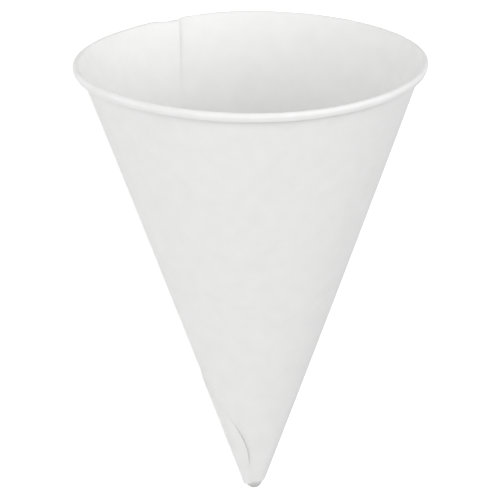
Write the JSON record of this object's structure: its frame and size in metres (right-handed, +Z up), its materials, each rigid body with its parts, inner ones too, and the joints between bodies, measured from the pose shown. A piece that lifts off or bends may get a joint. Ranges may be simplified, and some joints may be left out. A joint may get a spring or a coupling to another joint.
{
  "type": "cone paper cup",
  "caption": "Pointed cone cup of plain white paper, wound from a single sheet with a glued lap and an outward rolled rim, for a cold drink or shaved ice.",
  "frame": {"origin": "middle of the lying cup's box, on the surface that it lies on", "axes": "+Y along the side that the cup lies on, from the tip towards the mouth; +Z up; the cup's own axis rises by 20.51 degrees from +Y"},
  "size_m": [0.0732, 0.1008, 0.0685],
  "materials": {
    "paper": "matte uncoated white paper"
  },
  "bodies": {
    "root": {"cup": "paper"}
  },
  "joints": []
}
